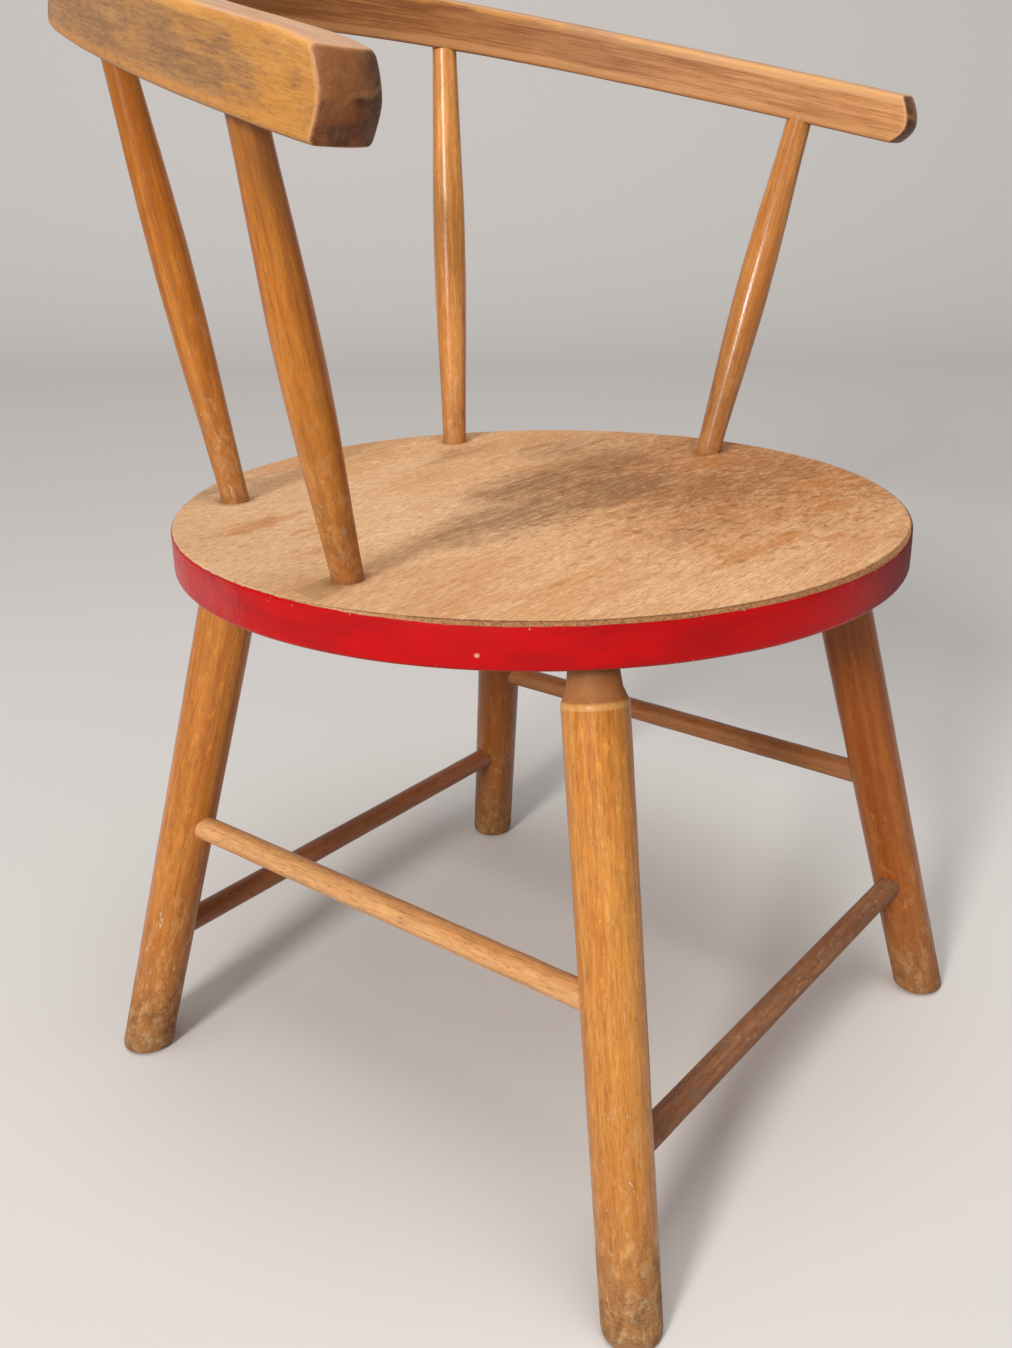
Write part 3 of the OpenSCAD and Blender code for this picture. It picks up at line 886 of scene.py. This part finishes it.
STRETCHERS = {
    "right": dict(ends=(leg_axis("front_right", SIDE_FRONT_Z), leg_axis("rear_right", SIDE_REAR_Z)),
                  slot="stretcher_side",
                  look=dowel_finish("dowel_right", tone(238, 178, 116), tone(214, 148, 88),
                                    scratched=0.35, roughness=0.45, coat=0.15, seed=2.2)),
    "left": dict(ends=(leg_axis("front_left", SIDE_FRONT_Z), leg_axis("rear_left", SIDE_REAR_Z)),
                 slot="stretcher_dark",
                 look=dowel_finish("dowel_left", tone(178, 116, 66), tone(148, 86, 46),
                                   scratched=0.45, roughness=0.42, coat=0.25, seed=5.1)),
    "front": dict(ends=(leg_axis("front_right", FRONT_Z), leg_axis("front_left", FRONT_Z)),
                  slot="stretcher_worn",
                  look=dowel_finish("dowel_front", tone(184, 128, 88), tone(142, 92, 60),
                                    scratched=1.0, roughness=0.62, coat=0.0, seed=6.4)),
    "rear": dict(ends=(leg_axis("rear_right", REAR_Z), leg_axis("rear_left", REAR_Z)),
                 slot="stretcher_dark",
                 look=dowel_finish("dowel_rear", tone(178, 110, 62), tone(148, 84, 44),
                                   scratched=0.5, roughness=0.42, coat=0.25, seed=8.8)),
}


def make_stretcher(name, ends, slot, look):
    start, end = ends
    direction = (end - start).normalized()
    start, end = start + direction * SHORT_OF_AXIS, end - direction * SHORT_OF_AXIS
    length = (end - start).length
    bm = turned([(0, 0), (DOWEL_R - DOWEL_CHAMFER, 0), (DOWEL_R, DOWEL_CHAMFER),
                 (DOWEL_R, length - DOWEL_CHAMFER), (DOWEL_R - DOWEL_CHAMFER, length),
                 (0, length)], sides=40)
    add_rings(bm, 4 * MM, length - 4 * MM, count=70)
    wear(bm, DOWEL_WEAR, scale=60, seed=length * 50)
    matrix = lean(start, end)
    stand(bm, matrix)
    finished(bm, "dowel_" + name, look, "stretcher_" + name)


for name, details in STRETCHERS.items():
    make_stretcher(name, **details)

# %% [markdown]
# ## Spindles
#
# Each spindle is a slim barrel, thickest at the middle, that stands on the
# board and runs up into the bow. Its profile is the same sine curve as the
# frame's. The ends go a little way into the board and the bow, so that no gap
# shows round them.

# %% Make the spindles
SPINDLE_END_R, SPINDLE_MID_R = 6.4 * MM, 8.6 * MM
SPINDLE_IN_BOARD, SPINDLE_IN_BOW = 2.2 * MM, 4 * MM
SPINDLE_STEPS = 48
SPINDLE_LOOKS = {
    "front_right": dict(light=tone(212, 132, 40), dark=tone(178, 94, 18), scuffs=1.0, foot=0.6,
                        grime=0.9, seed=11.4, gloss=0.27),
    "front_left": dict(light=tone(212, 148, 82), dark=tone(186, 116, 56), scuffs=0.6, foot=0.3,
                       grime=0.2, seed=13.9, gloss=0.2),
    "rear_right": dict(light=tone(208, 130, 46), dark=tone(172, 96, 26), scuffs=1.0, foot=0.5,
                       grime=0.4, seed=15.2, gloss=0.27),
    "rear_left": dict(light=tone(238, 170, 96), dark=tone(206, 134, 66), scuffs=0.8, foot=0.35,
                      grime=0.3, seed=17.6, gloss=0.25),
}


def make_spindle(corner):
    start, end = SPINDLE_FEET[corner], SPINDLE_HEADS[corner]
    length = (end - start).length
    profile = [(0, -SPINDLE_IN_BOARD), (SPINDLE_END_R - 0.6 * MM, -SPINDLE_IN_BOARD)]
    for i in range(SPINDLE_STEPS + 1):
        swell = math.sin(math.pi * i / SPINDLE_STEPS) ** 1.6
        profile.append((SPINDLE_END_R + (SPINDLE_MID_R - SPINDLE_END_R) * swell,
                        length * i / SPINDLE_STEPS))
    profile += [(SPINDLE_END_R, length + SPINDLE_IN_BOW), (0, length + SPINDLE_IN_BOW)]
    bm = turned(profile, sides=48)
    wear(bm, STICK_WEAR, scale=60, seed=start.x * 70 + start.y * 30)
    matrix = lean(start, end, spin=start.y * 15)
    stand(bm, matrix)
    look = amber_varnish("spindle_" + corner, length, **SPINDLE_LOOKS[corner])
    finished(bm, "turned_spindle_" + corner, look, "spindle_" + corner)


for corner in SPINDLE_FEET:
    make_spindle(corner)

# %% [markdown]
# ## The seat board
#
# The board is a disc with a crisp top edge at the back, where nobody rubs it,
# and a well-worn one at the front. It is lathed with close rings near its
# edge, and the front part of those rings is then lowered and drawn in, which
# leaves the soft worn corner.

# %% Make the seat board
TOP_EDGE_R, UNDER_EDGE_R = 1.6 * MM, 2.2 * MM
TOP_RINGS = (2.4, 3.2, 4.2, 6, 9, 14, 24, 60, 110)     # mm in from the rim
QUARTER = [math.radians(d) for d in range(0, 91, 15)]
RUB_DOWN, RUB_IN = 0.8 * MM, 0.4 * MM                   # most at the front


def share_of(value, full):
    """How far a value has come from 0 to full, kept between 0 and 1."""
    return min(1.0, max(0.0, value / full))


def make_seat():
    radius, thick = SEAT_RADIUS, SEAT_TOP - SEAT_UNDER
    profile = [(0, 0)]
    profile += [(radius - UNDER_EDGE_R * (1 - math.sin(a)), UNDER_EDGE_R * (1 - math.cos(a)))
                for a in QUARTER]
    profile += [(radius, thick * 0.35), (radius, thick * 0.65)]
    profile += [(radius - TOP_EDGE_R * (1 - math.cos(a)), thick - TOP_EDGE_R * (1 - math.sin(a)))
                for a in QUARTER]
    profile += [(radius - inset * MM, thick) for inset in TOP_RINGS]
    profile += [(0, thick)]
    bm = turned(profile, sides=240)
    for v in bm.verts:
        span = Vector((v.co.x, v.co.y, 0)).length
        if span > radius - 7 * MM and v.co.z > thick * 0.5:
            front = share_of(-v.co.y / span - 0.10, 0.6)
            rub = front * (0.75 + 0.25 * noise.noise(v.co * 90))
            corner = share_of(span - radius + 4.2 * MM, 4.2 * MM)
            v.co.z -= RUB_DOWN * rub * corner ** 2
            shrink = RUB_IN * rub * share_of(v.co.z - thick + 4 * MM, 4 * MM)
            v.co.x *= 1 - shrink / span
            v.co.y *= 1 - shrink / span
    wear(bm, 0.18 * MM, scale=40, seed=3.0)
    bmesh.ops.translate(bm, vec=(SEAT_CENTRE.x, SEAT_CENTRE.y, SEAT_UNDER), verts=bm.verts)
    look = seat_finish(SEAT_CENTRE, SEAT_RADIUS, SEAT_TOP, SEAT_UNDER, SPINDLE_FEET.values())
    finished(bm, "seat_board", look, "seat")


make_seat()

# %% [markdown]
# ## The bow's line
#
# The bow is one stick of nearly square section, bent round the back and
# running on along both arms in a much slower curve. Two arcs that meet without
# a kink are enough for half of it. Much of what follows is easier to say on
# the straight stick, before it was bent, so two small functions go from a
# point of the bow to its place on that stick and back.

# %% The bow's measures
BOW_R, BOW_BEND = 166.7 * MM, math.radians(65)
BOW_WIDTH, BOW_HEIGHT = 23.1 * MM, 24.2 * MM
BOW_EDGE_R, END_EDGE_R = 2.2 * MM, 1.1 * MM
BOW_REAR_Y = 48.9 * MM
ARM_R, ARM_REACH, LEFT_ARM_CUT = 519 * MM, 59.7 * MM, 3.6 * MM
ARM_CENTRE = Vector((-(ARM_R - BOW_R) * math.sin(BOW_BEND),
                     BOW_REAR_Y - (ARM_R - BOW_R) * math.cos(BOW_BEND), 0))
TIP_ANGLE = math.acos((-ARM_REACH - ARM_CENTRE.y) / ARM_R)
TIP_RUN = BOW_R * BOW_BEND + ARM_R * (TIP_ANGLE - BOW_BEND)
NOSE_R, NOSE_DROP, NOSE_LENGTH = 28 * MM, 1.8 * MM, 18 * MM
RIDGE_SOFTNESS = 1.5 * MM     # how softly the ridge across an arm's end turns over
WORN_LENGTH = 60 * MM         # the stretch of each arm that the worn end draws on
RIGHT_WEAR = 1.6 * MM         # how far the right arm's upper end edge is rubbed away
BOW_TAPER = math.tan(math.radians(0.7))
BOW_PLACE = (Matrix.Translation(from_seat(0, -27.2, 442.8))
             @ Matrix.Rotation(math.radians(12.7), 4, "X")
             @ Matrix.Rotation(math.radians(0.5), 4, "Y"))
print("the bow's stick is", round(2 * TIP_RUN / MM), "mm long")

# %% From the bow to the straight stick and back
def stick_place(point):
    """Across, along and up on the straight stick, for a point of the bow."""
    x, y = abs(point.x), point.y
    angle = math.atan2(x, y - BOW_REAR_Y)
    if angle <= BOW_BEND:
        run, side = BOW_R * angle, math.hypot(x, y - BOW_REAR_Y) - BOW_R
    else:
        dx, dy = x - ARM_CENTRE.x, y - ARM_CENTRE.y
        run = BOW_R * BOW_BEND + ARM_R * (math.atan2(dx, dy) - BOW_BEND)
        side = math.hypot(dx, dy) - ARM_R
    return Vector((side, math.copysign(run, point.x), point.z - BOW_HEIGHT / 2))


def arm_point(side, run, rise):
    """The other way round: where a point of the straight stick lies on the left arm."""
    angle = BOW_BEND + (run - BOW_R * BOW_BEND) / ARM_R
    reach = ARM_R + side
    return ARM_CENTRE + Vector((math.sin(angle) * reach, math.cos(angle) * reach,
                                rise + BOW_HEIGHT / 2))


# %% [markdown]
# ## The bow's ends
#
# Each arm ends in a blunt nose with a soft ridge across it, and the left one
# has been rubbed further back. Both shapes are given as a depth behind the tip
# at each place of the end face, which is easier to steer than moving points.

# %% How far the ends are rounded and worn
def sink(side, rise):
    """How far behind the arm's tip its end face lies: a ball with a soft ridge."""
    low = rise + NOSE_DROP
    across = NOSE_R - math.sqrt(NOSE_R ** 2 - side ** 2)
    ball = NOSE_R - math.sqrt(NOSE_R ** 2 - low ** 2)
    ridge = 0.36 * (math.hypot(low, RIDGE_SOFTNESS) - RIDGE_SOFTNESS)
    return across + 0.5 * ball + 0.5 * ridge


def left_wear(side, rise):
    """How much further the left arm's end is rubbed back, most at its lower inner corner."""
    low = max(0, (-3 * MM - rise) / (9 * MM))
    high = max(0, rise / (BOW_HEIGHT / 2))
    inner = 0.5 - side / BOW_WIDTH
    outer = 1 - inner
    return (4.5 * low ** 2 * (0.35 + 0.65 * inner) + 2.0 * high ** 2 + 4.5 * outer ** 2) * MM


# %% [markdown]
# ## Sweep, round and wear the bow
#
# We draw the section once, with rounded corners, and sweep it with two spins:
# one for half of the rear bend and one for the left arm. The end is rounded
# over: each new ring is the last one drawn in towards the middle, and set as
# far back from the tip as the rounding asks. Half a bow is then mirrored, and
# the left arm is made a little shorter than the right. The top was planed
# askew, so that the left arm is thinner too, and the whole bow leans back.

# %% Sweep half of the bow
def swept_half(bm):
    """The open tube from the middle of the back to the left nose. Returns its last ring."""
    bmesh.ops.create_grid(bm, x_segments=1, y_segments=1, size=0.5)
    upright = (Matrix.Translation((0, BOW_REAR_Y + BOW_R, BOW_HEIGHT / 2))
               @ Matrix.Rotation(math.radians(90), 4, "Y")
               @ Matrix.Diagonal((BOW_HEIGHT, BOW_WIDTH, 1, 1)))
    bmesh.ops.transform(bm, matrix=upright, verts=bm.verts)
    bmesh.ops.bevel(bm, geom=bm.verts[:], offset=BOW_EDGE_R, segments=5, profile=0.5,
                    affect="VERTICES", material=-1)
    bmesh.ops.delete(bm, geom=bm.faces[:], context="FACES_ONLY")
    long_edges = [e for e in bm.edges if e.calc_length() > BOW_WIDTH / 2]
    bmesh.ops.subdivide_edges(bm, edges=long_edges, cuts=9)
    swept = bmesh.ops.spin(bm, geom=bm.edges[:], cent=(0, BOW_REAR_Y, 0), axis=(0, 0, -1),
                           angle=BOW_BEND, steps=54)
    swept = bmesh.ops.spin(bm, geom=edges_of(swept["geom_last"]), cent=ARM_CENTRE,
                           axis=(0, 0, -1), steps=48,
                           angle=TIP_ANGLE - NOSE_LENGTH / ARM_R - BOW_BEND)
    return edges_of(swept["geom_last"])


# %% Round the end over
def next_ring(bm, ring, share, shrink):
    """Adds a ring this share of the way to the end face, and shrunk this much."""
    nose_start = TIP_RUN - NOSE_LENGTH
    grown = bmesh.ops.extrude_edge_only(bm, edges=ring)["geom"]
    for v in verts_of(grown):
        side, run, rise = stick_place(v.co)
        side, rise = side * shrink, rise * shrink
        ahead = TIP_RUN - sink(side, rise) - nose_start
        v.co = arm_point(side, nose_start + share * ahead, rise)
    return [e for e in edges_of(grown) if all(v in grown for v in e.verts)]


def rounded_end(bm, ring):
    """Closes the open tube with the nose, and softens the edge of its end face."""
    for share in (0.2, 0.4, 0.6, 0.8, 1.0):
        ring = next_ring(bm, ring, share, 1)
    outline, last = ring, 1
    for size in (0.84, 0.68, 0.52, 0.36, 0.2, 0.08):
        ring = next_ring(bm, ring, 1, size / last)
        last = size
    bmesh.ops.contextual_create(bm, geom=ring)
    bmesh.ops.bevel(bm, geom=outline, offset=END_EDGE_R, segments=4, profile=0.5,
                    affect="EDGES", material=-1)


# %% Wear the two arms differently
def wear_arms(bm):
    """Shortens and rubs the left arm, rubs the right one's upper end edge, and stores
    where each vertex is on the straight stick and how far behind its end."""
    stick = bm.verts.layers.float_vector.new("bow_stick")
    behind = bm.verts.layers.float.new("behind_end")
    squeeze = TIP_RUN - WORN_LENGTH
    for v in bm.verts:
        v[stick] = stick_place(v.co)
        side, run, rise = v[stick]
        end = TIP_RUN - sink(side, rise)
        v[behind] = end - abs(run)
        share = (abs(run) - squeeze) / (end - squeeze)
        if run > squeeze:
            run -= share * (LEFT_ARM_CUT + left_wear(side, rise))
            v.co = arm_point(side, run, rise)
        elif run < -squeeze and rise > 0:
            high = rise / (BOW_HEIGHT / 2)
            near_end = max(0, share - 0.6) / 0.4
            back = RIGHT_WEAR * share * high ** 2
            v.co = arm_point(side, -run - back, rise - RIGHT_WEAR * high * near_end ** 2)
            v.co.x *= -1


# %% Make the bow
def make_bow():
    bm = bmesh.new()
    rounded_end(bm, swept_half(bm))
    bmesh.ops.mirror(bm, geom=everything(bm), matrix=Matrix.Identity(4),
                     merge_dist=1e-5, axis="X")
    bmesh.ops.remove_doubles(bm, verts=bm.verts, dist=MERGE)
    bmesh.ops.recalc_face_normals(bm, faces=bm.faces)
    wear_arms(bm)
    for v in bm.verts:
        v.co.z *= 1 - v.co.x * BOW_TAPER / BOW_HEIGHT
    wear(bm, 0.3 * MM, scale=45, seed=6.0)
    bmesh.ops.transform(bm, matrix=BOW_PLACE, verts=bm.verts)
    look = bow_finish("bow_wood", BOW_WIDTH / 2, BOW_HEIGHT / 2, TIP_RUN)
    finished(bm, "bent_bow", look, "bow")


make_bow()

# %% [markdown]
# ## The floor
#
# The chair stands on a pale floor that curves up behind it, as paper does in a
# studio. It could be a plane and a wall, but then a corner would show. A line
# with a quarter circle in it is drawn out sideways instead. The paper is a
# mid grey for the light that it throws back on the chair, and nearly white for
# the camera and in reflections, so that the background is pale while the
# underside of the chair isn't lit from below.

# %% Floor
FLOOR_FRONT, FLOOR_BACK, FLOOR_WIDTH = -6.0, 2.2, 12     # metres
SWEEP_R, WALL_TOP = 1.2, 5.0
FLOOR_GAP = 0.2 * MM          # the paper lies just under the feet
HEADING = (0.785, 0.62)       # across and along: the way the camera looks


def make_floor():
    f = Finish("paper")
    path = f.node("LightPath", out="Is Camera Ray")
    shiny = f.node("LightPath", out="Is Glossy Ray")
    ahead = f.across * HEADING[0] + f.along * HEADING[1]
    seen = f.mix(f.ramp(ahead, 0.6, 2.4), tone(232, 228, 225), tone(255, 251, 248))
    f.colour = f.mix(path.most(shiny), tone(184, 181, 178), seen)
    material = f.done(0.9, shine=0.2)
    bm = bmesh.new()
    points = [bm.verts.new((x, 0, 0)) for x in (FLOOR_FRONT, FLOOR_BACK)]
    points += [bm.verts.new((FLOOR_BACK + SWEEP_R * math.sin(a), 0,
                             SWEEP_R - SWEEP_R * math.cos(a)))
               for a in [math.radians(d) for d in range(10, 91, 10)]]
    points.append(bm.verts.new((FLOOR_BACK + SWEEP_R, 0, WALL_TOP)))
    lines = [bm.edges.new(pair) for pair in zip(points, points[1:])]
    grown = bmesh.ops.extrude_edge_only(bm, edges=lines)["geom"]
    bmesh.ops.translate(bm, vec=(0, FLOOR_WIDTH, 0), verts=verts_of(grown))
    bmesh.ops.translate(bm, vec=(0, -FLOOR_WIDTH / 2, -FLOOR_GAP), verts=bm.verts)
    bmesh.ops.rotate(bm, cent=(0, 0, 0), verts=bm.verts,
                     matrix=Matrix.Rotation(math.radians(90 - CAMERA_TURN), 3, "Z"))
    bmesh.ops.recalc_face_normals(bm, faces=bm.faces)
    to_scene(bm, "floor", material)


make_floor()

# %% [markdown]
# ## The lamps and the room
#
# A broad lamp at the sitter's right is the main light, so that the seat's
# shadow falls across to the other side, and a larger soft one above fills in
# the top. One lamp alone would leave the far legs black, so the world adds an
# even light from everywhere. It is weak where it lights the chair, and
# brighter only where the camera looks past the floor at the world itself.

# %% Lamps
def add_lamp(name, place, target, power, width, colour=(1, 1, 1)):
    data = bpy.data.lights.new(name, "AREA")
    data.shape = "DISK"
    data.size = width
    data.energy = power
    data.color = colour
    lamp = bpy.data.objects.new(name, data)
    bpy.context.scene.collection.objects.link(lamp)
    aim = (Vector(place) - Vector(target)).to_track_quat("Z", "Y")
    lamp.matrix_world = Matrix.Translation(place) @ aim.to_matrix().to_4x4()
    print("lamp", name, power, "W")


add_lamp("main", place=(-3.6, -0.7, 1.75), target=(0, 0, 0.25), power=116, width=0.8,
         colour=(1.0, 0.98, 0.95))
add_lamp("above", place=(-0.3, -0.4, 2.2), target=(0, 0, 0.2), power=19, width=1.6)

# %% Room
ROOM_LIGHT, ROOM_SEEN = 0.29, 0.60
world = bpy.data.worlds.new("room")
world.use_nodes = True
room_tree = world.node_tree
background = room_tree.nodes["Background"]
background.inputs["Color"].default_value = (1.0, 0.985, 0.97, 1)
path = room_tree.nodes.new("ShaderNodeLightPath")
strength = room_tree.nodes.new("ShaderNodeMapRange")
strength.inputs["To Min"].default_value = ROOM_LIGHT
strength.inputs["To Max"].default_value = ROOM_SEEN
room_tree.links.new(path.outputs["Is Camera Ray"], strength.inputs["Value"])
room_tree.links.new(strength.outputs["Result"], background.inputs["Strength"])
bpy.context.scene.world = world
print("room light", ROOM_LIGHT, "and", ROOM_SEEN, "to the camera")
